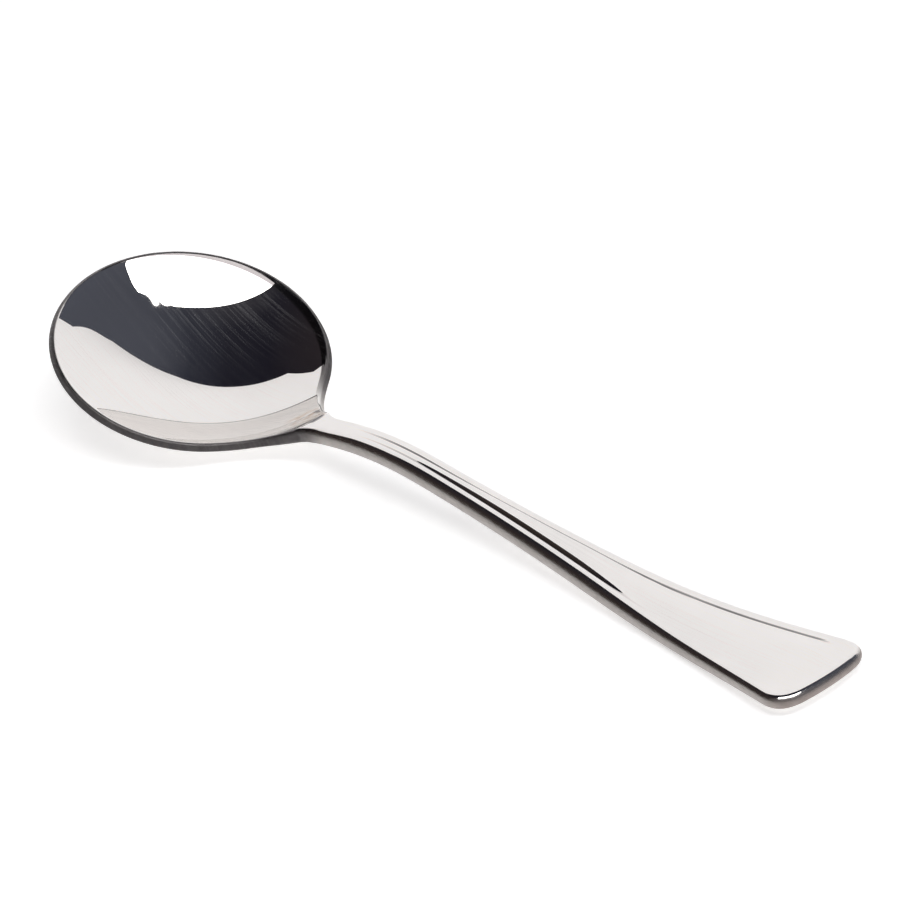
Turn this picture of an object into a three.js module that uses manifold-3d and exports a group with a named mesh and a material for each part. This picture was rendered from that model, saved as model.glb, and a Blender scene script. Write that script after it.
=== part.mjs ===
// Sugar spoon of polished stainless steel, stamped in one piece: a round bowl, a slim neck, and a handle that
// flares to a rounded end and carries a raised panel inside a narrow border.
// Millimetres, +Z up. The spoon lies at rest on the underside of its bowl and handle, +X runs from the bowl's
// tip to the handle's end, and the origin is the middle of its box on the table.

import * as THREE from 'three';
import { mergeVertices } from 'three/addons/utils/BufferGeometryUtils.js';
import loadManifold from 'manifold-3d';

// Bowl, measured in its own rim plane
const BOWL_RADIUS = 19.25;
const BOWL_DEPTH = 5.35; // at the middle
const BOWL_WALL = 1.2;
const ROUNDING_SHARE = 0.149; // how much fuller the bowl's middle is than a plain parabola
const LEAN_SHARE = 0.485; // how much the wall steepens towards the neck and flattens towards the tip
const LIFT_SHARE = 0.077; // how much the wall steepens once more between rim and lip

// Way from the round rim to the neck
const LIP_BEYOND_RIM = 5.2;
const FILLET_LEAVES_RIM = 35; // degrees from the long axis
const FILLET_BEYOND_LIP = 3.1;

// Neck and handle in plan
const NECK_WIDTH = 5;
const NECK_LENGTH = 17.9;
const FLARE_LENGTH = 70.7;
const END_WIDTH = 17.7;
const END_BULGE = 1;
const CORNER_RADIUS = 4.5;

// Neck and handle in side view: degrees of rise over the rim plane, lengths along that plane
const NECK_RISE = 29.9;
const HANDLE_RISE = 12.4;
const END_RISE = 21.2;
const ARCH_LENGTH = 24.4;
const SWEEP_BEYOND_LIP = 51.7;
const SWEEP_LENGTH = 32;
const NECK_THICKNESS = 2.4;
const HANDLE_THICKNESS = 2.6;
const END_THICKNESS = 2;

// Raised panel on the handle
const PANEL_BEYOND_LIP = 12;
const PANEL_RUN_IN = 28;
const PANEL_HEIGHT = 0.45;
const PANEL_END_HEIGHT = 0.28;
const PANEL_CORNER_RADIUS = 6;
const BORDER_AT_NECK = 1.65;
const BORDER_AT_END = 1.8;
const SHOULDER_WIDTH = 0.5;
const SHOULDER_END_WIDTH = 3.6;
const SPREAD_BEYOND_LIP = 48;
const SPREAD_LENGTH = 20;

// Edges and blends
const RIM_TOP_RADIUS = 0.45;
const RIM_UNDER_RADIUS = 0.2;
const HANDLE_EDGE_SHARE = 0.48; // of the thickness, for each of the handle's two round edges
const LIP_BLEND = 0.08;
const UNDER_BLEND = 0.5;
const REST_FLAT_DEPTH = 0.06;

// Fineness of the faceted faces
const STEPS = { bowl: 30, fillet: 16, neck: 8, flare: 22, corner: 8, end: 5 };
const PANEL_STEPS = 5;
const SHOULDER_STEPS = 3;
const BORDER_STEPS = 2;
const UNDER_STEPS = 8;
const EDGE_STEPS = 4;
const TILT_PASSES = 40;
const STEEPEST_TILT = 45; // degrees

// Places along the long axis, from the middle of the bowl
const LIP = BOWL_RADIUS + LIP_BEYOND_RIM;
const NECK_START = LIP + FILLET_BEYOND_LIP;
const NECK_END = NECK_START + NECK_LENGTH;
const HANDLE_END = NECK_END + FLARE_LENGTH;
const SWEEP_START = LIP + SWEEP_BEYOND_LIP;
const SWEEP_END = SWEEP_START + SWEEP_LENGTH;
const PANEL_START = LIP + PANEL_BEYOND_LIP;
const SPREAD_START = LIP + SPREAD_BEYOND_LIP;
const SPREAD_END = SPREAD_START + SPREAD_LENGTH;

const slope = (degrees) => Math.tan(THREE.MathUtils.degToRad(degrees));
const mix = THREE.MathUtils.lerp;
const smooth = THREE.MathUtils.smoothstep;

// Height gained where a slope grows smoothly from 0 to 1 between two places and then stays at 1
function climb(along, start, end) {
  const length = end - start;
  const part = THREE.MathUtils.clamp((along - start) / length, 0, 1);
  return length * (part ** 3 - part ** 4 / 2) + Math.max(along - end, 0);
}

// Lower of two heights, with the corner between them rounded off
function blendedMin(first, second, blend) {
  const overlap = Math.max(blend - Math.abs(first - second), 0) / blend;
  return Math.min(first, second) - (overlap * overlap * blend) / 4;
}

// Top face of the bowl: a round dish, steepest towards the neck, whose wall runs on past the rim to the lip
function bowlHeight(along, across) {
  const round = (along ** 2 + across ** 2) / BOWL_RADIUS ** 2;
  const reach = along / BOWL_RADIUS;
  const fullness = 1 + ROUNDING_SHARE * (1 - round) + LEAN_SHARE * reach + LIFT_SHARE * reach ** 2 * round;
  return (BOWL_DEPTH / (1 + ROUNDING_SHARE)) * (round - 1) * fullness;
}

// Top face of neck and handle in side view: steep at the lip, easing over the arch, lifting towards the end
function handleHeight(along) {
  const arch = (slope(HANDLE_RISE) - slope(NECK_RISE)) * climb(along, LIP, LIP + ARCH_LENGTH);
  const sweep = (slope(END_RISE) - slope(HANDLE_RISE)) * climb(along, SWEEP_START, SWEEP_END);
  return bowlHeight(LIP, 0) + slope(NECK_RISE) * (along - LIP) + arch + sweep;
}

function sheetHeight(along, across, blend) {
  if (along <= BOWL_RADIUS) return bowlHeight(along, across);
  return blendedMin(bowlHeight(along, across), handleHeight(along), blend);
}

// Half-width of the neck and of the flare after it
function handleHalfWidth(along) {
  const part = Math.max(along - NECK_END, 0) / FLARE_LENGTH;
  return NECK_WIDTH / 2 + ((END_WIDTH - NECK_WIDTH) / 2) * part ** 2;
}

// Reach of the gently rounded end at a given distance from the long axis
function endReach(across) {
  return HANDLE_END - END_BULGE * (across / (END_WIDTH / 2)) ** 2;
}

function borderWidth(along) {
  return mix(BORDER_AT_NECK, BORDER_AT_END, smooth(along, NECK_END, HANDLE_END));
}

// The panel's shoulder is a narrow step along the handle and spreads to a gentle slope towards the end
function shoulderWidth(along) {
  return mix(SHOULDER_WIDTH, SHOULDER_END_WIDTH, smooth(along, SPREAD_START, SPREAD_END));
}

// Raised panel: follows the handle's outline inside the border, runs in along the neck, lowers to the end
function panelHeight(along, across) {
  const fromSide = Math.max(PANEL_CORNER_RADIUS - (handleHalfWidth(along) - Math.abs(across)), 0);
  const fromEnd = Math.max(PANEL_CORNER_RADIUS - (endReach(across) - along), 0);
  const fromOutline = PANEL_CORNER_RADIUS - Math.hypot(fromSide, fromEnd);
  const border = borderWidth(along);
  const height = mix(PANEL_HEIGHT, PANEL_END_HEIGHT, smooth(along, SPREAD_START, SPREAD_END));
  const runIn = smooth(along, PANEL_START, PANEL_START + PANEL_RUN_IN);
  return height * runIn * smooth(fromOutline, border, border + shoulderWidth(along));
}

// The blank is thinnest in the bowl, thickest along the handle and thinner again at the end
function thickness(along) {
  const atNeck = mix(BOWL_WALL, NECK_THICKNESS, smooth(along, BOWL_RADIUS, NECK_START));
  const onHandle = mix(atNeck, HANDLE_THICKNESS, smooth(along, NECK_START, NECK_END));
  return mix(onHandle, END_THICKNESS, smooth(along, SWEEP_START, HANDLE_END));
}

// Radius of an edge: small on the cut rim, half the blank on the handle, whose sides are fully round
function edgeRadius(along, rimRadius) {
  return mix(rimRadius, thickness(along) * HANDLE_EDGE_SHARE, smooth(along, BOWL_RADIUS, NECK_START));
}

// Point on the sheet under a place in plan, pushed in along the sheet's normal
function sheetPoint(along, across, depth, blend) {
  const nudge = 0.01;
  const slopeAlong = sheetHeight(along + nudge, across, blend) - sheetHeight(along - nudge, across, blend);
  const slopeAcross = sheetHeight(along, across + nudge, blend) - sheetHeight(along, across - nudge, blend);
  const normal = new THREE.Vector3(-slopeAlong, -slopeAcross, 2 * nudge).normalize();
  const point = new THREE.Vector3(along, across, sheetHeight(along, across, blend));
  return point.addScaledVector(normal, -depth);
}

// Where the tangents of two outline points meet
function tangentsMeet(first, firstDirection, second, secondDirection) {
  const gap = second.clone().sub(first);
  const reach = gap.cross(secondDirection) / firstDirection.cross(secondDirection);
  return first.clone().addScaledVector(firstDirection, reach);
}

// Plan outline of one side, from the bowl's tip to the middle of the handle's end
function outlineStations() {
  const filletAngle = THREE.MathUtils.degToRad(FILLET_LEAVES_RIM);
  const round = new THREE.EllipseCurve(0, 0, BOWL_RADIUS, BOWL_RADIUS, Math.PI, filletAngle, true);
  const filletOutward = new THREE.Vector2(Math.cos(filletAngle), Math.sin(filletAngle));
  const filletStart = filletOutward.clone().multiplyScalar(BOWL_RADIUS);
  const filletTangent = new THREE.Vector2(filletOutward.y, -filletOutward.x);
  const lengthwise = new THREE.Vector2(1, 0);
  const neckStart = new THREE.Vector2(NECK_START, NECK_WIDTH / 2);
  const neckEnd = new THREE.Vector2(NECK_END, NECK_WIDTH / 2);
  const filletPull = tangentsMeet(filletStart, filletTangent, neckStart, lengthwise);

  const flareStop = HANDLE_END - CORNER_RADIUS;
  const flareEnd = new THREE.Vector2(flareStop, handleHalfWidth(flareStop));
  const flarePull = new THREE.Vector2((NECK_END + flareStop) / 2, NECK_WIDTH / 2);
  const endStop = END_WIDTH / 2 - CORNER_RADIUS;
  const endStart = new THREE.Vector2(endReach(endStop), endStop);
  const endPull = new THREE.Vector2(HANDLE_END, endStop / 2);
  const flareTangent = flareEnd.clone().sub(flarePull);
  const cornerPull = tangentsMeet(flareEnd, flareTangent, endStart, endStart.clone().sub(endPull));
  const endMiddle = new THREE.Vector2(HANDLE_END, 0);

  const stretches = [
    [round, STEPS.bowl],
    [new THREE.QuadraticBezierCurve(filletStart, filletPull, neckStart), STEPS.fillet],
    [new THREE.LineCurve(neckStart, neckEnd), STEPS.neck],
    [new THREE.QuadraticBezierCurve(neckEnd, flarePull, flareEnd), STEPS.flare],
    [new THREE.QuadraticBezierCurve(flareEnd, cornerPull, endStart), STEPS.corner],
    [new THREE.QuadraticBezierCurve(endStart, endPull, endMiddle), STEPS.end],
  ];
  const stations = stretches.flatMap(([curve, steps]) =>
    Array.from({ length: steps }, (_, step) => {
      const tangent = curve.getTangent(step / steps);
      return { place: curve.getPoint(step / steps), outward: new THREE.Vector2(-tangent.y, tangent.x) };
    }),
  );
  stations[0].place.y = 0;
  stations[0].outward.set(-1, 0);
  stations.push({ place: endMiddle, outward: lengthwise });
  return stations;
}

// Distances from the long axis at which the top face has points: even in the bowl, banded on the handle
function topPlaces(along, halfWidth, topRadius) {
  const shoulderFoot = Math.max(halfWidth + topRadius - borderWidth(along), 0);
  const panelEdge = Math.max(shoulderFoot - shoulderWidth(along), 0);
  const bands = [[0, panelEdge, PANEL_STEPS], [panelEdge, shoulderFoot, SHOULDER_STEPS],
    [shoulderFoot, halfWidth, BORDER_STEPS]];
  const banded = bands.flatMap(([from, to, steps]) =>
    Array.from({ length: steps }, (_, step) => mix(from, to, step / steps)));
  banded.push(halfWidth);
  const onHandle = smooth(along, LIP, PANEL_START);
  return banded.map((place, index) => mix((halfWidth * index) / (banded.length - 1), place, onHandle));
}

// One half of the cross-section at a station, from the top's middle round the edge to the underside's middle
function halfSection({ place, outward }) {
  const points = [];
  const wall = thickness(place.x);
  const topRadius = edgeRadius(place.x, RIM_TOP_RADIUS);
  const underRadius = edgeRadius(place.x, RIM_UNDER_RADIUS);
  const top = place.clone().addScaledVector(outward, -topRadius);
  for (const across of topPlaces(top.x, Math.max(top.y, 0), topRadius)) {
    const point = sheetPoint(top.x, across, 0, LIP_BLEND);
    point.z += panelHeight(top.x, across);
    points.push(point);
  }
  for (let step = 1; step <= EDGE_STEPS; step += 1) {
    const turn = ((Math.PI / 2) * step) / EDGE_STEPS;
    const edge = place.clone().addScaledVector(outward, -topRadius * (1 - Math.sin(turn)));
    points.push(sheetPoint(edge.x, edge.y, topRadius * (1 - Math.cos(turn)), LIP_BLEND));
  }
  for (let step = 0; step < EDGE_STEPS; step += 1) {
    const turn = ((Math.PI / 2) * step) / EDGE_STEPS;
    const edge = place.clone().addScaledVector(outward, -underRadius * (1 - Math.cos(turn)));
    points.push(sheetPoint(edge.x, edge.y, wall - underRadius * (1 - Math.sin(turn)), UNDER_BLEND));
  }
  const under = place.clone().addScaledVector(outward, -underRadius);
  for (let step = UNDER_STEPS; step >= 0; step -= 1) {
    const across = (Math.max(under.y, 0) * step) / UNDER_STEPS;
    points.push(sheetPoint(under.x, across, wall, UNDER_BLEND));
  }
  return points;
}

// Closed skin through all cross-sections; the first and the last section close on the long axis
function spoonSkin() {
  const rings = outlineStations().map((station) => {
    const right = halfSection(station);
    const left = right.slice(1, -1).reverse();
    return [...right, ...left.map((point) => new THREE.Vector3(point.x, -point.y, point.z))];
  });
  const ringSize = rings[0].length;
  const triangles = [];
  for (let ring = 0; ring + 1 < rings.length; ring += 1) {
    for (let index = 0; index < ringSize; index += 1) {
      const near = ring * ringSize + index;
      const nearNext = ring * ringSize + ((index + 1) % ringSize);
      triangles.push(near, near + ringSize, nearNext, nearNext, near + ringSize, nearNext + ringSize);
    }
  }
  const skin = new THREE.BufferGeometry().setFromPoints(rings.flat());
  skin.setIndex(triangles);
  return skin;
}

// Angle by which the rim plane tips up when the bowl and the handle both touch the table
function restingTilt(skin) {
  const points = skin.getAttribute('position');
  const lowest = (tilt, isPart) => {
    let low = Infinity;
    for (let index = 0; index < points.count; index += 1) {
      const along = points.getX(index);
      if (isPart(along)) low = Math.min(low, points.getZ(index) * Math.cos(tilt) - along * Math.sin(tilt));
    }
    return low;
  };
  let level = 0;
  let steep = THREE.MathUtils.degToRad(STEEPEST_TILT);
  for (let pass = 0; pass < TILT_PASSES; pass += 1) {
    const tilt = (level + steep) / 2;
    const handleIsHigher = lowest(tilt, (along) => along > NECK_END) > lowest(tilt, (along) => along < LIP);
    if (handleIsHigher) level = tilt;
    else steep = tilt;
  }
  return (level + steep) / 2;
}

const wasm = await loadManifold();
wasm.setup();

function toSolid(geometry) {
  geometry.deleteAttribute('normal');
  geometry.deleteAttribute('uv');
  const merged = mergeVertices(geometry);
  const corners = merged.getIndex().array;
  const triVerts = [];
  for (let index = 0; index < corners.length; index += 3) {
    const [a, b, c] = corners.slice(index, index + 3);
    if (a !== b && b !== c && c !== a) triVerts.push(a, b, c);
  }
  const vertProperties = new Float32Array(merged.getAttribute('position').array);
  const mesh = new wasm.Mesh({ numProp: 3, vertProperties, triVerts: new Uint32Array(triVerts) });
  return new wasm.Manifold(mesh);
}

function toGeometry(solid) {
  const mesh = solid.getMesh();
  const geometry = new THREE.BufferGeometry();
  geometry.setAttribute('position', new THREE.BufferAttribute(new Float32Array(mesh.vertProperties), 3));
  geometry.setIndex(new THREE.BufferAttribute(new Uint32Array(mesh.triVerts), 1));
  return geometry;
}

// Lays the spoon on the table and wears a small flat where bowl and handle touch it
function restingSpoon() {
  const skin = spoonSkin();
  skin.rotateY(restingTilt(skin));
  skin.computeBoundingBox();
  skin.translate(0, 0, -skin.boundingBox.min.z - REST_FLAT_DEPTH);
  const size = skin.boundingBox.getSize(new THREE.Vector3());
  const table = new THREE.BoxGeometry(2 * size.x, 2 * size.x, size.z);
  table.translate(size.x / 2, 0, -size.z / 2);
  const spoon = toGeometry(toSolid(skin).subtract(toSolid(table)));
  spoon.computeBoundingBox();
  const middle = spoon.boundingBox.getCenter(new THREE.Vector3());
  spoon.translate(-middle.x, -middle.y, -spoon.boundingBox.min.z);
  spoon.computeVertexNormals();
  return spoon;
}

const polishedSteel = new THREE.MeshStandardMaterial({ color: 0xcdcac7, roughness: 0.12, metalness: 1 });
const spoon = new THREE.Mesh(restingSpoon(), polishedSteel);
spoon.name = 'sugar_spoon';

const sugarSpoon = new THREE.Group();
sugarSpoon.add(spoon);

export default sugarSpoon;
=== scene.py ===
import math
import bpy
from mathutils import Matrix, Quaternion, Vector


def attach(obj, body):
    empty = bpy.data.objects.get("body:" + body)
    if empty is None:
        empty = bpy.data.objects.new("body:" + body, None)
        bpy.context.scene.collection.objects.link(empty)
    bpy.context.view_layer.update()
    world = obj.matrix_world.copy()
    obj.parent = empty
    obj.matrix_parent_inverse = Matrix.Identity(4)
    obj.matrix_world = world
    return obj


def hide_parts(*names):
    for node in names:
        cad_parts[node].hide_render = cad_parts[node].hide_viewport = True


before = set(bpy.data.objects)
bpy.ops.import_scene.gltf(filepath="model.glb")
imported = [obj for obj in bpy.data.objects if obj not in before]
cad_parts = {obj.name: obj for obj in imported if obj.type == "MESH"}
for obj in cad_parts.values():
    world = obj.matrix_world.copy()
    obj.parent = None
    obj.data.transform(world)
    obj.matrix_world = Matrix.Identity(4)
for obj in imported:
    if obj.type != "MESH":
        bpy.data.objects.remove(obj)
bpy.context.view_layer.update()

# Spoon: one blank of stainless steel, stamped to a round bowl, a slim arched neck and a flared handle, then
# polished bright all over. The handle carries a raised panel inside a narrow border, and every edge is eased.
MM = 0.001
spoon_sizes = {
    "Bowl Radius": 19.25 * MM,
    "Bowl Depth": 5.35 * MM,
    "Bowl Rounding": 0.149,
    "Bowl Lean": 0.485,
    "Neck Lift": 0.077,
    "Tip Lift": 0.3,
    "Bowl Wall": 1.2 * MM,
    "Lip Beyond Rim": 5.2 * MM,
    "Fillet Leaves Rim": math.radians(35),
    "Fillet Beyond Lip": 3.1 * MM,
    "Neck Width": 5 * MM,
    "Neck Length": 17.9 * MM,
    "Flare Length": 70.7 * MM,
    "End Width": 17.7 * MM,
    "End Bulge": 1 * MM,
    "Corner Radius": 4.5 * MM,
    "Neck Rise": math.radians(29.9),
    "Handle Rise": math.radians(12.4),
    "End Rise": math.radians(21.2),
    "Arch Length": 24.4 * MM,
    "Sweep Beyond Lip": 51.7 * MM,
    "Sweep Length": 32 * MM,
    "Neck Thickness": 2.4 * MM,
    "Handle Thickness": 2.6 * MM,
    "End Thickness": 2 * MM,
    "Panel Beyond Lip": 12 * MM,
    "Panel Run In": 28 * MM,
    "Panel Height": 0.45 * MM,
    "Panel End Height": 0.28 * MM,
    "Panel Corner Radius": 6 * MM,
    "Border At Neck": 1.65 * MM,
    "Border At End": 1.8 * MM,
    "Shoulder Width": 0.5 * MM,
    "Shoulder End Width": 3.6 * MM,
    "Spread Beyond Lip": 48 * MM,
    "Spread Length": 20 * MM,
    "Step Run Out": 15 * MM,
    "Rim Top Radius": 0.45 * MM,
    "Rim Under Radius": 0.2 * MM,
    "Handle Edge Share": 0.48,
    "Lip Blend": 0.08 * MM,
    "Under Blend": 0.5 * MM,
    "Resting Tilt": math.radians(18.86),
    "Rest Flat Depth": 0.06 * MM,
}
stations_along = {"rim": 110, "fillet": 44, "neck": 30, "flare": 100, "corner": 44, "end": 14}
steps_around = {
    "panel": 30, "shoulder": 18, "border": 5, "edge": 12, "wall": 3, "under edge": 10, "under": 18,
}

spoon_tree = bpy.data.node_groups.new("spoon_sheet", "GeometryNodeTree")
spoon_tree.interface.new_socket("Mesh", in_out="OUTPUT", socket_type="NodeSocketGeometry")
for name in spoon_sizes:
    spoon_tree.interface.new_socket(name, in_out="INPUT", socket_type="NodeSocketFloat")
spoon_tree.interface.new_socket("Steel", in_out="INPUT", socket_type="NodeSocketMaterial")
spoon_inputs = spoon_tree.nodes.new("NodeGroupInput")


class Field:
    """A number in the spoon's node tree. Arithmetic with it adds Math nodes to the tree."""

    def __init__(self, socket):
        self.socket = socket

    def __add__(self, other):
        return worked("ADD", self, other)

    def __radd__(self, other):
        return worked("ADD", other, self)

    def __sub__(self, other):
        return worked("SUBTRACT", self, other)

    def __rsub__(self, other):
        return worked("SUBTRACT", other, self)

    def __mul__(self, other):
        return worked("MULTIPLY", self, other)

    def __rmul__(self, other):
        return worked("MULTIPLY", other, self)

    def __truediv__(self, other):
        return worked("DIVIDE", self, other)

    def __neg__(self):
        return worked("MULTIPLY", self, -1)


def feed(socket, term):
    if isinstance(term, Field):
        spoon_tree.links.new(term.socket, socket)
    else:
        socket.default_value = term


def add_node(kind, **terms):
    node = spoon_tree.nodes.new(kind)
    for name, term in terms.items():
        feed(node.inputs[name.replace("_", " ")], term)
    return node


def worked(operation, *terms):
    node = spoon_tree.nodes.new("ShaderNodeMath")
    node.operation = operation
    for socket, term in zip(node.inputs, terms):
        feed(socket, term)
    return Field(node.outputs[0])


def progress(count, start, steps):
    share = (count - start) / steps
    share.socket.node.use_clamp = True
    return share


def smooth(value, start, end):
    node = spoon_tree.nodes.new("ShaderNodeMapRange")
    node.interpolation_type = "SMOOTHSTEP"
    feed(node.inputs["Value"], value)
    feed(node.inputs["From Min"], start)
    feed(node.inputs["From Max"], end)
    return Field(node.outputs["Result"])


def faded(value, start, end):
    return 1 - smooth(value, start, end)


def mixed(first, second, share):
    return first + (second - first) * share


def diagonal(first, second):
    return worked("SQRT", first * first + second * second)


def size(name):
    return Field(spoon_inputs.outputs[name])


bowl_radius = size("Bowl Radius")
bowl_depth = size("Bowl Depth")
half_neck = size("Neck Width") / 2
half_end = size("End Width") / 2
corner_radius = size("Corner Radius")
lip = bowl_radius + size("Lip Beyond Rim")
neck_start = lip + size("Fillet Beyond Lip")
neck_end = neck_start + size("Neck Length")
handle_end = neck_end + size("Flare Length")
sweep_start = lip + size("Sweep Beyond Lip")
sweep_end = sweep_start + size("Sweep Length")

# Each vertex of a flat grid knows its station along the outline and its step round the cross-section.
half_steps = sum(steps_around.values())
ring_size = 2 * half_steps + 1
grid = add_node("GeometryNodeMeshGrid")
grid.inputs["Vertices X"].default_value = sum(stations_along.values()) + 1
grid.inputs["Vertices Y"].default_value = ring_size
index = Field(spoon_tree.nodes.new("GeometryNodeInputIndex").outputs["Index"])
station = worked("FLOOR", index / ring_size)
around = index - station * ring_size - half_steps
side = worked("SIGN", around)
step = worked("ABSOLUTE", around)


def handle_half_width(along):
    share = worked("MAXIMUM", along - neck_end, 0) / size("Flare Length")
    return half_neck + (half_end - half_neck) * share * share


def end_reach(across):
    share = across / half_end
    return handle_end - size("End Bulge") * share * share


# Plan outline of one side: round the rim from the bowl's tip, then five bends, each begun where the last one
# stops: the fillet, the straight neck, the flare, the corner and the rounded end.
fillet_angle = size("Fillet Leaves Rim")
angle = math.pi - (math.pi - fillet_angle) * progress(station, 0, stations_along["rim"])
outline = [bowl_radius * worked("COSINE", angle), bowl_radius * worked("SINE", angle)]
heading = [worked("SINE", angle), -worked("COSINE", angle)]

fillet_from = [bowl_radius * worked("COSINE", fillet_angle), bowl_radius * worked("SINE", fillet_angle)]
fillet_pull = [fillet_from[0] + (fillet_from[1] - half_neck) * worked("TANGENT", fillet_angle), half_neck]
flare_stop = handle_end - corner_radius
flare_to = [flare_stop, handle_half_width(flare_stop)]
flare_slope = 2 * (flare_to[1] - half_neck) / (flare_stop - neck_end)
end_from_across = half_end - corner_radius
end_from = [end_reach(end_from_across), end_from_across]
end_slope = -2 * size("End Bulge") * end_from_across / (half_end * half_end)
corner_rise = flare_to[1] + flare_slope * (end_from[0] - end_slope * end_from[1] - flare_stop)
corner_across = corner_rise / (1 - flare_slope * end_slope)
corner_pull = [end_from[0] + end_slope * (corner_across - end_from[1]), corner_across]
bends = [
    ("fillet", fillet_from, fillet_pull, [neck_start, half_neck]),
    ("neck", [neck_start, half_neck], [(neck_start + neck_end) / 2, half_neck], [neck_end, half_neck]),
    ("flare", [neck_end, half_neck], [(neck_end + flare_stop) / 2, half_neck], flare_to),
    ("corner", flare_to, corner_pull, end_from),
    ("end", end_from, [handle_end, end_from_across / 2], [handle_end, 0 * half_end]),
]
first_station = stations_along["rim"]
for name, start, pull, stop in bends:
    part = progress(station, first_station, stations_along[name])
    begun = worked("GREATER_THAN", part, 0)
    for axis in range(2):
        lead = pull[axis] - start[axis]
        swing = stop[axis] - pull[axis] - lead
        outline[axis] = outline[axis] + part * (2 * lead + part * swing)
        heading[axis] = mixed(heading[axis], lead + part * swing, begun)
    first_station += stations_along[name]
heading_length = diagonal(heading[0], heading[1])
outward = [-heading[1] / heading_length, heading[0] / heading_length]

# Cross-section: over the top face, round its edge, down the wall, round the lower edge and back underneath.
first_step = 0
band = {}
for name, steps in steps_around.items():
    band[name] = progress(step, first_step, steps)
    first_step += steps
wall = mixed(size("Bowl Wall"), size("Neck Thickness"), smooth(outline[0], bowl_radius, neck_start))
wall = mixed(wall, size("Handle Thickness"), smooth(outline[0], neck_start, neck_end))
wall = mixed(wall, size("End Thickness"), smooth(outline[0], sweep_start, handle_end))
rounded = smooth(outline[0], bowl_radius, neck_start)
top_radius = mixed(size("Rim Top Radius"), wall * size("Handle Edge Share"), rounded)
under_radius = mixed(size("Rim Under Radius"), wall * size("Handle Edge Share"), rounded)
top_turn = band["edge"] * (math.pi / 2)
under_turn = band["under edge"] * (math.pi / 2)
inset = top_radius * (1 - worked("SINE", top_turn)) + under_radius * (1 - worked("COSINE", under_turn))
depth = (
    top_radius * (1 - worked("COSINE", top_turn))
    + band["wall"] * (wall - top_radius - under_radius)
    + under_radius * worked("SINE", under_turn)
)
along = outline[0] - outward[0] * inset
half_width = worked("MAXIMUM", outline[1] - outward[1] * inset, 0)

border = mixed(size("Border At Neck"), size("Border At End"), smooth(along, neck_end, handle_end))
spread_start = lip + size("Spread Beyond Lip")
spread = smooth(along, spread_start, spread_start + size("Spread Length"))
shoulder = mixed(size("Shoulder Width"), size("Shoulder End Width"), spread)
shoulder_foot = worked("MAXIMUM", half_width + top_radius - border, 0)
panel_edge = worked("MAXIMUM", shoulder_foot - shoulder, 0)
banded = (
    panel_edge * band["panel"]
    + (shoulder_foot - panel_edge) * band["shoulder"]
    + (half_width - shoulder_foot) * band["border"]
)
top_steps = steps_around["panel"] + steps_around["shoulder"] + steps_around["border"]
evenly = half_width * progress(step, 0, top_steps)
on_handle = smooth(along, lip, lip + size("Panel Beyond Lip"))
from_axis = mixed(evenly, banded, on_handle) * (1 - band["under"])
across = from_axis * side

# Height of the sheet over the rim plane: the round dish is steepest towards the neck and runs on past the rim
# up to the lip, where the neck takes over. The handle is three slopes, joined at the arch and at the sweep.
# Over the bowl its surface is lifted out of the dish's way.
dish_depth = bowl_depth / (1 + size("Bowl Rounding"))


def dish_shape(along, across):
    round_share = (along * along + across * across) / (bowl_radius * bowl_radius)
    reach = along / bowl_radius
    tip_reach = worked("MINIMUM", reach, 0)
    leaned = 1 + size("Bowl Rounding") * (1 - round_share) + size("Bowl Lean") * reach
    lift = size("Neck Lift") * reach * reach + size("Tip Lift") * tip_reach * tip_reach
    lift_along = 2 * (size("Neck Lift") * reach + size("Tip Lift") * tip_reach) / bowl_radius
    return round_share, leaned + lift * round_share, lift, lift_along


def dish_height(along, across):
    round_share, fullness, lift, lift_along = dish_shape(along, across)
    return dish_depth * (round_share - 1) * fullness


def dish_slopes(along, across):
    round_share, fullness, lift, lift_along = dish_shape(along, across)
    round_along = 2 * along / (bowl_radius * bowl_radius)
    round_across = 2 * across / (bowl_radius * bowl_radius)
    shared = lift - size("Bowl Rounding")
    fullness_along = shared * round_along + size("Bowl Lean") / bowl_radius + lift_along * round_share
    fullness_across = shared * round_across
    return (
        dish_depth * (round_along * fullness + (round_share - 1) * fullness_along),
        dish_depth * (round_across * fullness + (round_share - 1) * fullness_across),
    )


bowl_height = dish_height(along, across)
bowl_slope_along, bowl_slope_across = dish_slopes(along, across)
lip_height = dish_height(lip, 0 * lip)


def climb(along, start, end):
    part = progress(along, start, end - start)
    eased = part * part * part * (1 - part / 2)
    return (end - start) * eased + worked("MAXIMUM", along - end, 0)


def slope(name):
    return worked("TANGENT", size(name))


arch_end = lip + size("Arch Length")
arch_turn = slope("Handle Rise") - slope("Neck Rise")
sweep_turn = slope("End Rise") - slope("Handle Rise")
over_bowl = worked("LESS_THAN", along, bowl_radius)
handle_height = (
    lip_height
    + slope("Neck Rise") * (along - lip)
    + arch_turn * climb(along, lip, arch_end)
    + sweep_turn * climb(along, sweep_start, sweep_end)
    + over_bowl * lip
)
handle_slope = (
    slope("Neck Rise")
    + arch_turn * smooth(along, lip, arch_end)
    + sweep_turn * smooth(along, sweep_start, sweep_end)
)

blend = mixed(size("Lip Blend"), size("Under Blend"), band["wall"])
difference = bowl_height - handle_height
overlap = worked("MAXIMUM", blend - worked("ABSOLUTE", difference), 0) / blend
sheet_height = worked("MINIMUM", bowl_height, handle_height) - overlap * overlap * blend / 4
handle_is_lower = worked("GREATER_THAN", difference, 0)
handle_share = mixed(overlap / 2, 1 - overlap / 2, handle_is_lower)
slope_along = mixed(bowl_slope_along, handle_slope, handle_share)
slope_across = mixed(bowl_slope_across, 0, handle_share)
normal_length = worked("SQRT", 1 + slope_along * slope_along + slope_across * slope_across)
inwards = depth / normal_length

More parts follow.
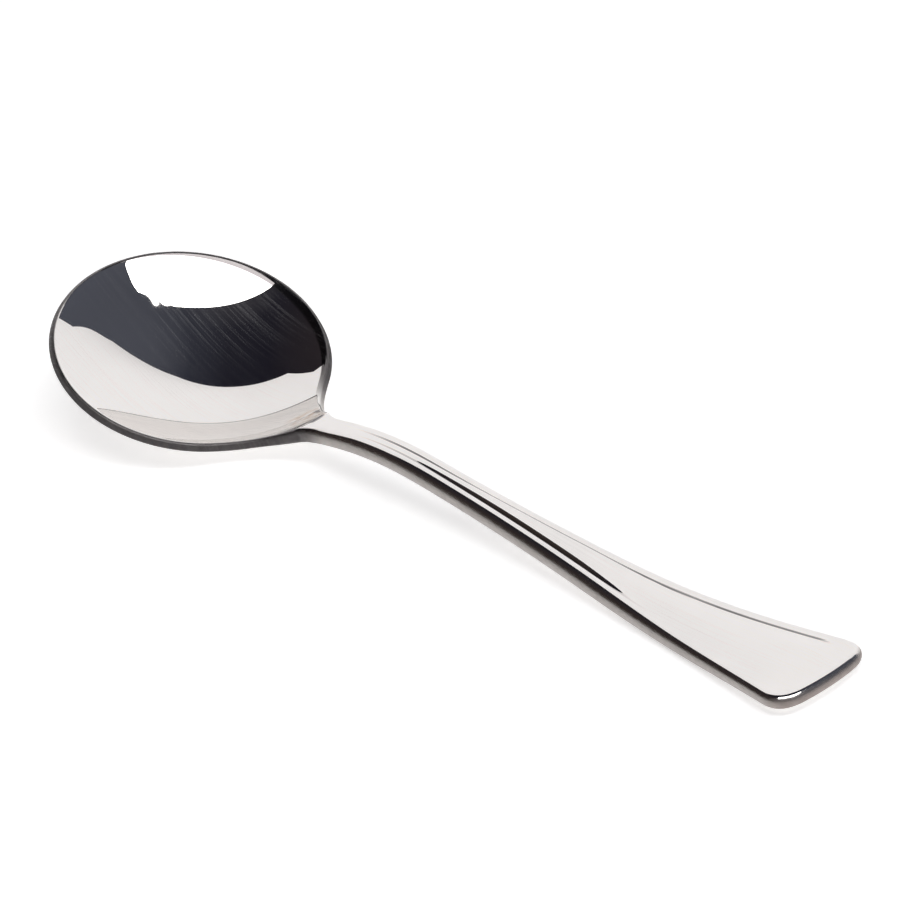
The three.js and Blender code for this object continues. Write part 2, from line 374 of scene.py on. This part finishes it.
# Raised panel of the handle: a narrow step along its sides, which dies out towards the end, and a wide slope
# that grows where the step ends.
panel_start = lip + size("Panel Beyond Lip")
step_rise = size("Panel Height") * faded(along, spread_start, spread_start + size("Step Run Out"))
slope_rise = size("Panel End Height") * spread
run_in = smooth(along, panel_start, panel_start + size("Panel Run In"))
panel_corner = size("Panel Corner Radius")
from_side = worked("MAXIMUM", panel_corner - handle_half_width(along) + from_axis, 0)
from_end = worked("MAXIMUM", panel_corner - end_reach(from_axis) + along, 0)
from_outline = panel_corner - diagonal(from_side, from_end)
on_top = worked("LESS_THAN", step, top_steps + 0.5)
step_share = smooth(from_outline, border, border + size("Shoulder Width"))
slope_share = smooth(from_outline, border, border + size("Shoulder End Width"))
panel = (step_rise * step_share + slope_rise * slope_share) * run_in * on_top

# Marks for the steel to read, each from 0 to 1: painted shade on the rim's cut edge and a painted dark strip
# inside it, matt sides and end wall darkened with painted shade, painted shade in the panel's creases and at
# the lip, and tarnish below the lip. The far side is the one away from the viewer. A pair of numbers with a
# band gives the shares of it over which a mark sets in.
RIM_FADE = 5 * MM
NEAR_RIM_STOP = 0.5 * MM
FAR_RIM_SHARE = 0.75
FAR_INSIDE_SHADE = 0.6
far_side = smooth(side, -0.5, 0.5)
above_foot = faded(band["under edge"], 0.6, 1)
rim_stop = mixed(lip - NEAR_RIM_STOP, FAR_RIM_SHARE * bowl_radius, far_side)
on_rim = faded(outline[0], rim_stop, rim_stop + RIM_FADE) * above_foot
# Painted shade: the rim's edge and a band inside the far rim are coloured dark grey as if they mirrored dark
# surroundings, and made a little rougher.
far_inside = FAR_INSIDE_SHADE * far_side * smooth(band["border"], 0.8, 1)
rim_edge_shade = worked("MAXIMUM", far_inside, smooth(band["edge"], 0.1, 0.3)) * on_rim
# Painted shade: a dark strip inside the far rim, so that the rim's mirror image in the bowl shows a dark
# line.
rim_strip_shade = far_side * smooth(band["border"], 0.4, 0.6) * on_rim
# Matt sides: rougher, and darkened with painted shade that stands in for darker surroundings mirrored in
# them.
matt_shaded_side = smooth(band["edge"], 0.25, 0.9) * above_foot
# Painted shade: the end wall is coloured darker and browner still, for the shaded table it would mirror.
end_wall_shade = matt_shaded_side * smooth(outline[0], handle_end - corner_radius, handle_end - 1 * MM)


def crease_line(inside_border, half_width):
    """Painted shade along the panel's border, in a line with soft flanks."""
    crease_shade_fade = 0.12 * MM
    from_line = worked("ABSOLUTE", from_outline - (border + inside_border))
    return faded(from_line, half_width, half_width + crease_shade_fade)


# Painted shade: a dark line along the foot of the panel's shoulder, faint on the near side and full on the
# far side.
NEAR_CREASE_SHADE = 0.4
near_fade = faded(along, spread_start + 6 * MM, spread_start + 18 * MM)
near_crease_shade = NEAR_CREASE_SHADE * near_fade * crease_line(inside_border=0.12 * MM, half_width=0.08 * MM)
far_crease_shade = crease_line(inside_border=0.36 * MM, half_width=0.12 * MM)
crease_shade_begins = smooth(along, panel_start - 5 * MM, panel_start + 5 * MM)
crease_shade_ends = faded(along, handle_end - 7 * MM, handle_end - 4.6 * MM)
panel_crease_shade = mixed(near_crease_shade, far_crease_shade, far_side) * crease_shade_begins * crease_shade_ends * on_top


def patch(before_lip, off_axis, half_length, half_width, core):
    """Oval patch on the top face, full over the core's share of its reach and gone at its outline."""
    reach = diagonal((along - lip + before_lip) / half_length, (across - off_axis) / half_width)
    return faded(reach, core, 1) * on_top


# Painted shade: a dark line in the crease where bowl and neck meet, and a dark patch at the lip's far corner.
CORNER_SHADE = 0.85
lip_middle = smooth(across, -1.2 * MM, -0.2 * MM) * faded(across, 1.5 * MM, 2.2 * MM)
from_lip = worked("ABSOLUTE", difference - 0.1 * MM)
lip_crease = faded(from_lip, 0.12 * MM, 0.27 * MM) * lip_middle * on_top
lip_corner = patch(
    before_lip=2.1 * MM, off_axis=3.6 * MM, half_length=1.5 * MM, half_width=0.7 * MM, core=0.4,
)
lip_shade = worked("MAXIMUM", lip_crease, CORNER_SHADE * lip_corner)
tarnish = patch(
    before_lip=2.6 * MM, off_axis=2 * MM, half_length=3.8 * MM, half_width=3.6 * MM, core=0.3,
)

marked = grid.outputs["Mesh"]
for mark_name, mark in (
    ("rim_edge_shade", rim_edge_shade),
    ("rim_strip_shade", rim_strip_shade),
    ("matt_shaded_side", matt_shaded_side),
    ("end_wall_shade", end_wall_shade),
    ("panel_crease_shade", panel_crease_shade),
    ("lip_shade", lip_shade),
    ("tarnish", tarnish),
):
    stored = add_node("GeometryNodeStoreNamedAttribute", Geometry=Field(marked), Name=mark_name, Value=mark)
    marked = stored.outputs["Geometry"]

# The sheet is tipped until bowl and handle touch the table, where each wears a small flat.
sheet_along = along + slope_along * inwards
sheet_across = across + slope_across * inwards
sheet_up = sheet_height - inwards + panel
tilt = size("Resting Tilt")
place = add_node(
    "ShaderNodeCombineXYZ",
    X=sheet_along * worked("COSINE", tilt) + sheet_up * worked("SINE", tilt),
    Y=sheet_across,
    Z=sheet_up * worked("COSINE", tilt) - sheet_along * worked("SINE", tilt),
)
tipped = add_node("GeometryNodeSetPosition", Geometry=Field(marked), Position=Field(place.outputs[0]))
box = add_node("GeometryNodeBoundBox", Geometry=Field(tipped.outputs[0]))
low = add_node("ShaderNodeSeparateXYZ", Vector=Field(box.outputs["Min"]))
high = add_node("ShaderNodeSeparateXYZ", Vector=Field(box.outputs["Max"]))
shift = add_node(
    "ShaderNodeCombineXYZ",
    X=(Field(low.outputs["X"]) + Field(high.outputs["X"])) * -0.5,
    Z=-Field(low.outputs["Z"]) - size("Rest Flat Depth"),
)
laid = add_node("GeometryNodeSetPosition", Geometry=Field(tipped.outputs[0]), Offset=Field(shift.outputs[0]))
position = spoon_tree.nodes.new("GeometryNodeInputPosition")
laid_place = add_node("ShaderNodeSeparateXYZ", Vector=Field(position.outputs[0]))
rest_place = add_node(
    "ShaderNodeCombineXYZ",
    X=Field(laid_place.outputs["X"]),
    Y=Field(laid_place.outputs["Y"]),
    Z=worked("MAXIMUM", Field(laid_place.outputs["Z"]), 0),
)
rest_spot = Field(rest_place.outputs[0])
resting = add_node("GeometryNodeSetPosition", Geometry=Field(laid.outputs[0]), Position=rest_spot)
WELD_DISTANCE = 0.001 * MM
closed = add_node("GeometryNodeMergeByDistance", Geometry=Field(resting.outputs[0]), Distance=WELD_DISTANCE)
shaded = add_node("GeometryNodeSetShadeSmooth", Geometry=Field(closed.outputs[0]))
realized = add_node("GeometryNodeRealizeInstances", Geometry=Field(shaded.outputs[0]))
finished = add_node("GeometryNodeSetMaterial", Geometry=Field(realized.outputs[0]), Material=size("Steel"))
spoon_output = spoon_tree.nodes.new("NodeGroupOutput")
spoon_tree.links.new(finished.outputs[0], spoon_output.inputs["Mesh"])

steel = bpy.data.materials.new("polished_steel")
steel.use_nodes = True
steel_nodes = steel.node_tree.nodes
steel_links = steel.node_tree.links
steel_shader = steel_nodes["Principled BSDF"]
steel_shader.inputs["Metallic"].default_value = 1
steel_place = steel_nodes.new("ShaderNodeTexCoord").outputs["Object"]


def steel_noise(grains, detail):
    """Cloudy grain, with so many grains per metre along, across and up the spoon."""
    spacing = steel_nodes.new("ShaderNodeMapping")
    spacing.inputs["Scale"].default_value = grains
    steel_links.new(steel_place, spacing.inputs["Vector"])
    noise = steel_nodes.new("ShaderNodeTexNoise")
    noise.inputs["Scale"].default_value = 1
    noise.inputs["Detail"].default_value = detail
    steel_links.new(spacing.outputs["Vector"], noise.inputs["Vector"])
    return noise.outputs["Fac"]


def steel_range(value, over, gives):
    """Turns a value that runs over one pair of numbers into one that runs over the other."""
    node = steel_nodes.new("ShaderNodeMapRange")
    for socket, number in zip(("From Min", "From Max", "To Min", "To Max"), over + gives):
        node.inputs[socket].default_value = number
    steel_links.new(value, node.inputs["Value"])
    return node.outputs["Result"]


def steel_worked(operation, first, second):
    node = steel_nodes.new("ShaderNodeMath")
    node.operation = operation
    for socket, term in zip(node.inputs, (first, second)):
        steel_links.new(term, socket)
    return node.outputs["Value"]


def steel_mark(name):
    node = steel_nodes.new("ShaderNodeAttribute")
    node.attribute_name = name
    return node.outputs["Fac"]


def steel_tint(below, colour, share):
    node = steel_nodes.new("ShaderNodeMix")
    node.data_type = "RGBA"
    steel_links.new(share, node.inputs["Factor"])
    if isinstance(below, tuple):
        node.inputs["A"].default_value = below
    else:
        steel_links.new(below, node.inputs["A"])
    node.inputs["B"].default_value = colour
    return node.outputs["Result"]


smudges = steel_noise(grains=(70, 70, 70), detail=3)
mottle = steel_noise(grains=(900, 900, 900), detail=2)
hairlines = steel_range(steel_noise(grains=(55, 4800, 55), detail=3), over=(0.5, 0.68), gives=(0, 1))
ripples = steel_noise(grains=(420, 700, 420), detail=2)
edge_share = steel_mark("rim_edge_shade")
strip_share = steel_mark("rim_strip_shade")
side_share = steel_mark("matt_shaded_side")
crease_shade_grain = steel_range(smudges, over=(0.35, 0.6), gives=(0.8, 1))
crease_shade_share = steel_worked("MULTIPLY", steel_mark("panel_crease_shade"), crease_shade_grain)
tarnish_grain = steel_range(mottle, over=(0.42, 0.6), gives=(0, 0.85))
tarnish_share = steel_worked("MULTIPLY", steel_mark("tarnish"), tarnish_grain)

# Painted shade: every mark colour below but the tarnish brown darkens the steel to stand in for darker
# surroundings mirrored there.
BRIGHT_STEEL = (0.83, 0.80, 0.777, 1)
SMUDGED_STEEL = (0.79, 0.765, 0.745, 1)
MATT_SHADED_STEEL = (0.46, 0.43, 0.41, 1)
END_WALL_SHADE_STEEL = (0.35, 0.305, 0.285, 1)
STRIP_GREY = (0.13, 0.12, 0.12, 1)
RIM_EDGE_SHADE_GREY = (0.16, 0.15, 0.15, 1)
CREASE_SHADE_BLACK = (0.04, 0.036, 0.036, 1)
TARNISH_BROWN = (0.62, 0.46, 0.34, 1)
LIP_SHADE_BLACK = (0.06, 0.05, 0.06, 1)
colour = steel_tint(BRIGHT_STEEL, SMUDGED_STEEL, steel_range(smudges, over=(0.35, 0.65), gives=(0, 1)))
for mark_colour, mark_share in (
    (MATT_SHADED_STEEL, side_share),
    (END_WALL_SHADE_STEEL, steel_mark("end_wall_shade")),
    (STRIP_GREY, strip_share),
    (RIM_EDGE_SHADE_GREY, edge_share),
    (CREASE_SHADE_BLACK, crease_shade_share),
    (TARNISH_BROWN, tarnish_share),
    (LIP_SHADE_BLACK, steel_mark("lip_shade")),
):
    colour = steel_tint(colour, mark_colour, mark_share)
steel_links.new(colour, steel_shader.inputs["Base Color"])
# The painted shade strip inside the far rim also dims its glancing reflection.
PLAIN_GLANCE = (1, 1, 1, 1)
STRIP_GLANCE = (0.1, 0.1, 0.1, 1)
steel_links.new(steel_tint(PLAIN_GLANCE, STRIP_GLANCE, strip_share), steel_shader.inputs["Specular Tint"])

hairline_haze = steel_range(hairlines, over=(0, 1), gives=(0.12, 1))
smudge_haze = steel_range(smudges, over=(0.38, 0.62), gives=(0.5, 1))
steel_links.new(steel_worked("MULTIPLY", hairline_haze, smudge_haze), steel_shader.inputs["Coat Weight"])
steel_shader.inputs["Coat Roughness"].default_value = 0.4
rough = steel_range(smudges, over=(0.35, 0.7), gives=(0.004, 0.012))
for rough_share, roughness in ((edge_share, (0.08, 0.2)), (side_share, (0.48, 0.6))):
    added = steel_worked("MULTIPLY", rough_share, steel_range(mottle, over=(0.3, 0.7), gives=roughness))
    rough = steel_worked("ADD", rough, added)
steel_links.new(rough, steel_shader.inputs["Roughness"])

steel_bump = steel_nodes.new("ShaderNodeBump")
steel_bump.inputs["Strength"].default_value = 1
steel_bump.inputs["Distance"].default_value = 0.00004 * MM
steel_links.new(ripples, steel_bump.inputs["Height"])
steel_links.new(steel_bump.outputs["Normal"], steel_shader.inputs["Normal"])

spoon = bpy.data.objects.new("spoon", bpy.data.meshes.new("spoon"))
bpy.context.scene.collection.objects.link(spoon)
spoon_maker = spoon.modifiers.new("spoon_sheet", "NODES")
spoon_maker.node_group = spoon_tree
for item in spoon_tree.interface.items_tree:
    if item.in_out == "INPUT":
        spoon_maker[item.identifier] = spoon_sizes.get(item.name, steel)
spoon_mesh = bpy.data.meshes.new_from_object(spoon.evaluated_get(bpy.context.evaluated_depsgraph_get()))
spoon.modifiers.remove(spoon_maker)
spoon.data = spoon_mesh
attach(spoon, "root")
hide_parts("sugar_spoon")

# Table: a plain white sheet of paper. It glows faintly towards the viewer and in the steel, so that it shows
# as pure white, and takes the lamp's light and the spoon's shadow besides.
TABLE_HALF = 3


def flat_sheet(name, corners):
    mesh = bpy.data.meshes.new(name)
    mesh.from_pydata(corners, [], [tuple(range(len(corners)))])
    sheet = bpy.data.objects.new(name, mesh)
    bpy.context.scene.collection.objects.link(sheet)
    return sheet


def whiten(sheet, glow):
    """Matt white that glows for the viewer and for mirrors only, and less the higher it stands."""
    faded_height = 2.1
    faded_share = 0.75
    white = bpy.data.materials.new("white_" + sheet.name)
    white.use_nodes = True
    nodes = white.node_tree.nodes
    links = white.node_tree.links
    shader = nodes["Principled BSDF"]
    shader.inputs["Base Color"].default_value = (0.9, 0.9, 0.9, 1)
    shader.inputs["Roughness"].default_value = 0.8
    shader.inputs["Emission Color"].default_value = (1, 1, 1, 1)

    light_path = nodes.new("ShaderNodeLightPath")
    seen = light_path.outputs["Is Camera Ray"]
    for ray in ("Is Glossy Ray", "Is Transmission Ray"):
        either = nodes.new("ShaderNodeMath")
        either.operation = "MAXIMUM"
        links.new(seen, either.inputs[0])
        links.new(light_path.outputs[ray], either.inputs[1])
        seen = either.outputs[0]

    height = nodes.new("ShaderNodeSeparateXYZ")
    links.new(nodes.new("ShaderNodeTexCoord").outputs["Object"], height.inputs["Vector"])
    fading = nodes.new("ShaderNodeMapRange")
    fading.inputs["From Max"].default_value = faded_height
    fading.inputs["To Min"].default_value = glow
    fading.inputs["To Max"].default_value = faded_share * glow
    links.new(height.outputs["Z"], fading.inputs["Value"])
    level = nodes.new("ShaderNodeMath")
    level.operation = "MULTIPLY"
    links.new(seen, level.inputs[0])
    links.new(fading.outputs["Result"], level.inputs[1])
    links.new(level.outputs[0], shader.inputs["Emission Strength"])
    sheet.data.materials.append(white)


table_plan = ((-1, -1), (1, -1), (1, 1), (-1, 1))
table = flat_sheet("table", [(TABLE_HALF * right, TABLE_HALF * back, 0) for right, back in table_plan])
whiten(table, glow=0.5)

# Board: a white board with a slanted top that stands behind the spoon. The handle's top and the lower half of
# the bowl mirror it.
studio_azimuth = math.radians(50)
studio_right = Vector((math.cos(studio_azimuth), math.sin(studio_azimuth), 0))
studio_front = Vector((math.sin(studio_azimuth), -math.cos(studio_azimuth), 0))
BOARD_BEHIND = 1.2
board_outline = [(2.88, 0), (1.96, 1.25), (1.54, 1.56), (1.80, 2.08), (1.08, 2.12), (0.06, 1.85),
                 (-0.65, 1.60), (-0.70, 1.06), (-1.13, 1.03), (-1.08, 0)]
board_corners = []
for board_across, board_up in board_outline:
    board_corners.append(studio_right * board_across - studio_front * BOARD_BEHIND + Vector((0, 0, board_up)))
board = flat_sheet("board", board_corners)
whiten(board, glow=0.55)

# Soft box: a lamp behind white cloth that hangs level over the table, on the viewer's side. The bowl's far
# wall mirrors its bowed edge. The outline is given for a height of one metre and grows with the real height.
SOFT_BOX_UP = 2.5
BOW_STEPS = 30
BOW_RIGHT = 0.42
BOW_LEFT = -0.19
bow_terms = (0.067, 0.068, -0.584, 0.334, -0.965)
soft_box_outline = [(-0.4, 0.5), (0.72, 0.5), (0.637, 0.021), (0.589, -0.07), (0.574, -0.113), (0.568, -0.12),
                    (0.539, -0.096), (0.5, -0.063), (0.45, -0.029)]
for bow_step in range(BOW_STEPS + 1):
    box_across = BOW_RIGHT + (BOW_LEFT - BOW_RIGHT) * bow_step / BOW_STEPS
    box_front = sum(term * box_across**power for power, term in enumerate(bow_terms))
    soft_box_outline.append((box_across, box_front))
soft_box_corners = []
for box_across, box_front in soft_box_outline:
    box_corner = studio_right * box_across + studio_front * box_front + Vector((0, 0, 1))
    soft_box_corners.append(box_corner * SOFT_BOX_UP)
soft_box = flat_sheet("soft_box", soft_box_corners)
soft_box_cloth = bpy.data.materials.new("lit_cloth")
soft_box_cloth.use_nodes = True
cloth_shader = soft_box_cloth.node_tree.nodes["Principled BSDF"]
cloth_shader.inputs["Emission Color"].default_value = (1, 1, 1, 1)
cloth_shader.inputs["Emission Strength"].default_value = 4.5
soft_box.data.materials.append(soft_box_cloth)

# Room: dark around the table, warm at the left, bluish overhead and a little brighter at the right and in
# front.
world = bpy.data.worlds.new("studio")
bpy.context.scene.world = world
world.use_nodes = True
world_nodes = world.node_tree.nodes
world_links = world.node_tree.links
room_direction = world_nodes.new("ShaderNodeTexCoord").outputs["Generated"]
left_to_right = (
    (0, (0.045, 0.034, 0.03)),
    (0.4, (0.011, 0.0105, 0.017)),
    (0.55, (0.014, 0.014, 0.022)),
    (0.68, (0.028, 0.030, 0.043)),
    (0.77, (0.07, 0.075, 0.095)),
    (1, (0.10, 0.11, 0.14)),
)
back_to_front = ((0.5, (0, 0, 0)), (1, (0.2, 0.19, 0.19)))
room_parts = []
for room_axis, room_colours in ((studio_right, left_to_right), (studio_front, back_to_front)):
    room_dot = world_nodes.new("ShaderNodeVectorMath")
    room_dot.operation = "DOT_PRODUCT"
    room_dot.inputs[1].default_value = room_axis
    world_links.new(room_direction, room_dot.inputs[0])
    room_share = world_nodes.new("ShaderNodeMapRange")
    room_share.inputs["From Min"].default_value = -1
    room_share.inputs["From Max"].default_value = 1
    world_links.new(room_dot.outputs["Value"], room_share.inputs["Value"])
    room_ramp = world_nodes.new("ShaderNodeValToRGB")
    stops = room_ramp.color_ramp.elements
    while len(stops) < len(room_colours):
        stops.new(1)
    for stop, (stop_place, stop_colour) in zip(stops, room_colours):
        stop.position = stop_place
        stop.color = (*stop_colour, 1)
    world_links.new(room_share.outputs["Result"], room_ramp.inputs["Fac"])
    room_parts.append(room_ramp.outputs["Color"])
room_colour = world_nodes.new("ShaderNodeMix")
room_colour.data_type = "RGBA"
room_colour.blend_type = "ADD"
room_colour.inputs["Factor"].default_value = 1
world_links.new(room_parts[0], room_colour.inputs["A"])
world_links.new(room_parts[1], room_colour.inputs["B"])
world_links.new(room_colour.outputs["Result"], world_nodes["Background"].inputs["Color"])

# Camera: a long lens above the handle's near side, rolled a little, as in the photograph. It aims near the
# middle of the spoon's box.
camera_data = bpy.data.cameras.new("camera")
camera_data.sensor_width = 36
camera_data.lens = 220
camera = bpy.data.objects.new("camera", camera_data)
bpy.context.scene.collection.objects.link(camera)
camera_azimuth = math.radians(49.95)
camera_elevation = math.radians(30.92)
camera_roll = math.radians(-6.95)
camera_distance = 0.7303
camera_aim = Vector((0, 0.00155, 0.00967))
camera_back = Vector((
    math.sin(camera_azimuth) * math.cos(camera_elevation),
    -math.cos(camera_azimuth) * math.cos(camera_elevation),
    math.sin(camera_elevation),
))
camera.location = camera_aim + camera_back * camera_distance
camera.rotation_mode = "QUATERNION"
level_turn = (-camera_back).to_track_quat("-Z", "Y")
camera.rotation_quaternion = level_turn @ Quaternion((0, 0, 1), camera_roll)
bpy.context.scene.camera = camera

bpy.context.scene.view_settings.view_transform = "Standard"
